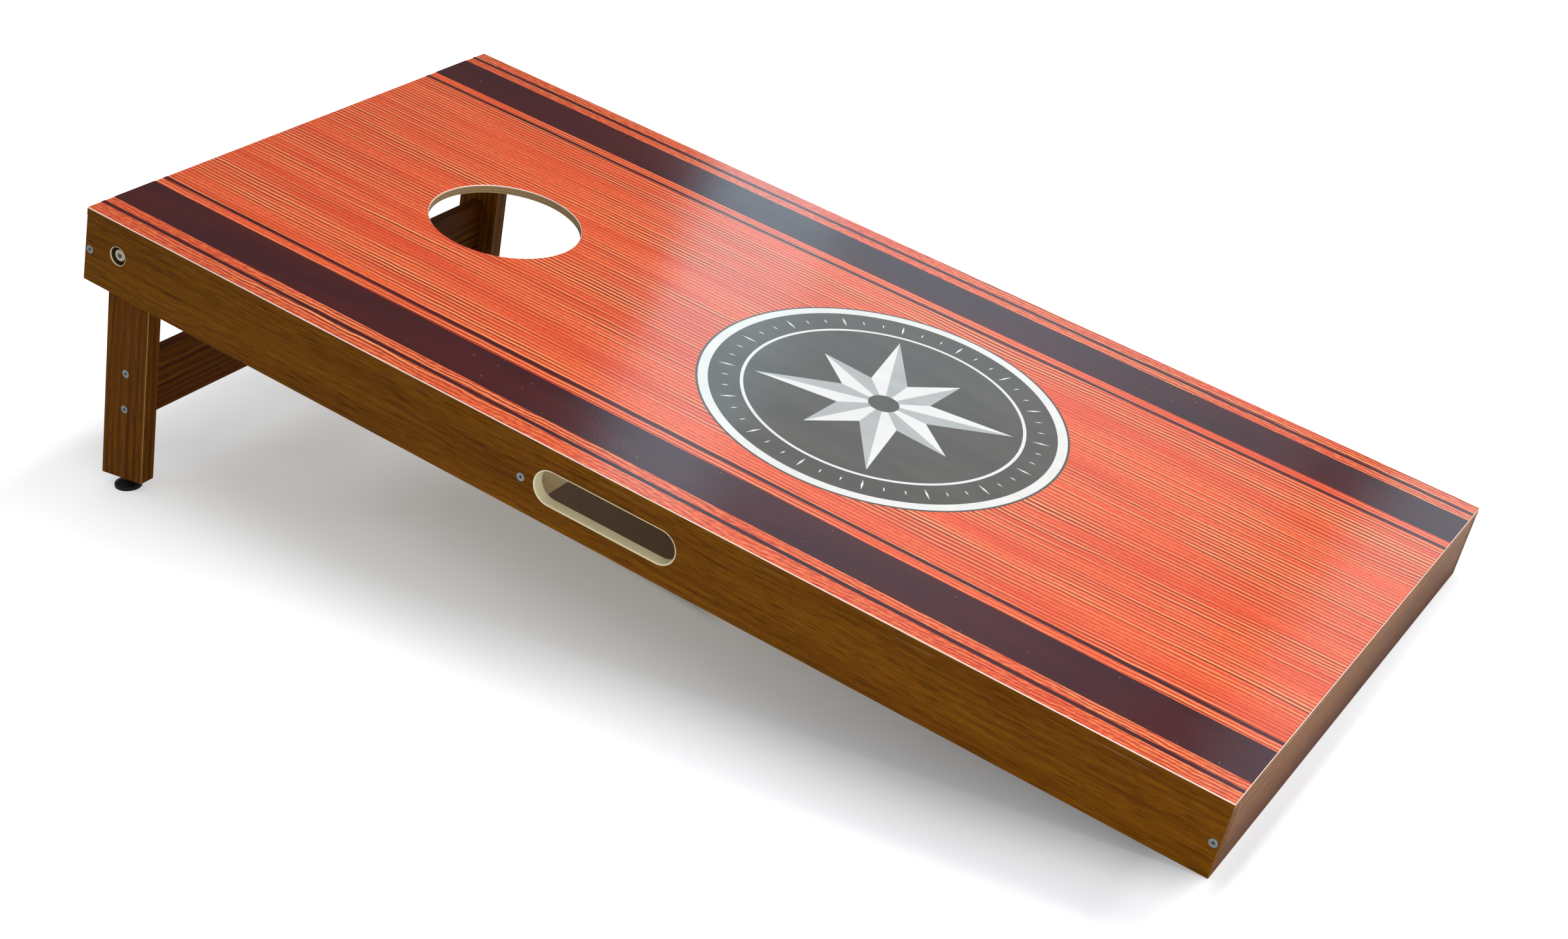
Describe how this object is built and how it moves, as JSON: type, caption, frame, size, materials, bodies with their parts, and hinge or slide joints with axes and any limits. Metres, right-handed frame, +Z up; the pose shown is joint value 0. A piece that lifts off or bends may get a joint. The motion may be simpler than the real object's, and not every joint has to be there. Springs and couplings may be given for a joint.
{
  "type": "cornhole board",
  "caption": "Sloped lawn-game target board: a flat deck with a round bag hole on a rail frame with hand slots, propped by a folding leg frame with levelling feet.",
  "frame": {"origin": "on the floor, under the middle of the board's box, as it stands with its legs open", "axes": "+X towards the low front end, +Y across to the right side as a player sees it, +Z up"},
  "size_m": [1.2101, 0.61, 0.3046],
  "materials": {
    "printed_sheet": "glossy printed wood grain with dark stripes",
    "plywood": "raw pale plywood",
    "walnut_foil": "satin brown wood-print foil",
    "zinc_steel": "zinc plated",
    "nickel": "nickel plated",
    "nylon": "natural nylon",
    "brass": "plain",
    "black_rubber": "matte"
  },
  "bodies": {
    "frame": {"deck_sheet": "printed_sheet", "deck_panel": "plywood", "mid_brace": "plywood", "edge_band_left": "walnut_foil", "edge_band_right": "walnut_foil", "edge_band_front": "walnut_foil", "edge_band_rear": "walnut_foil", "side_rail_left": "walnut_foil", "side_rail_right": "walnut_foil", "front_rail": "walnut_foil", "rear_rail": "walnut_foil", "rail_screw_front_left": "zinc_steel", "rail_screw_front_right": "zinc_steel", "rail_screw_rear_left": "zinc_steel", "rail_screw_rear_right": "zinc_steel", "brace_screw_left": "zinc_steel", "brace_screw_right": "zinc_steel", "pivot_bolt_left": "nickel", "pivot_spacer_left": "nylon", "pivot_washer_left": "zinc_steel", "pivot_nut_left": "zinc_steel", "pivot_bolt_right": "nickel", "pivot_spacer_right": "nylon", "pivot_washer_right": "zinc_steel", "pivot_nut_right": "zinc_steel"},
    "leg_frame": {"leg_left": "walnut_foil", "leg_right": "walnut_foil", "leg_brace": "walnut_foil", "leg_screw_left_upper": "zinc_steel", "leg_screw_left_lower": "zinc_steel", "foot_insert_left": "brass", "leg_screw_right_upper": "zinc_steel", "leg_screw_right_lower": "zinc_steel", "foot_insert_right": "brass"},
    "foot_left": {"foot_pad_left": "black_rubber", "foot_stud_left": "zinc_steel"},
    "foot_right": {"foot_pad_right": "black_rubber", "foot_stud_right": "zinc_steel"}
  },
  "joints": [
    {"name": "leg_fold", "type": "hinge", "parent": "frame", "child": "leg_frame", "pos_m": [-0.53917, 0, 0.26223], "axis": [0, -1, 0], "range_deg": [0, 87.5]},
    {"name": "foot_left_screw", "type": "slide", "parent": "leg_frame", "child": "foot_left", "axis": [0, 0, -1], "range_m": [0, 0.008]},
    {"name": "foot_right_screw", "type": "slide", "parent": "leg_frame", "child": "foot_right", "axis": [0, 0, -1], "range_m": [0, 0.008]}
  ]
}
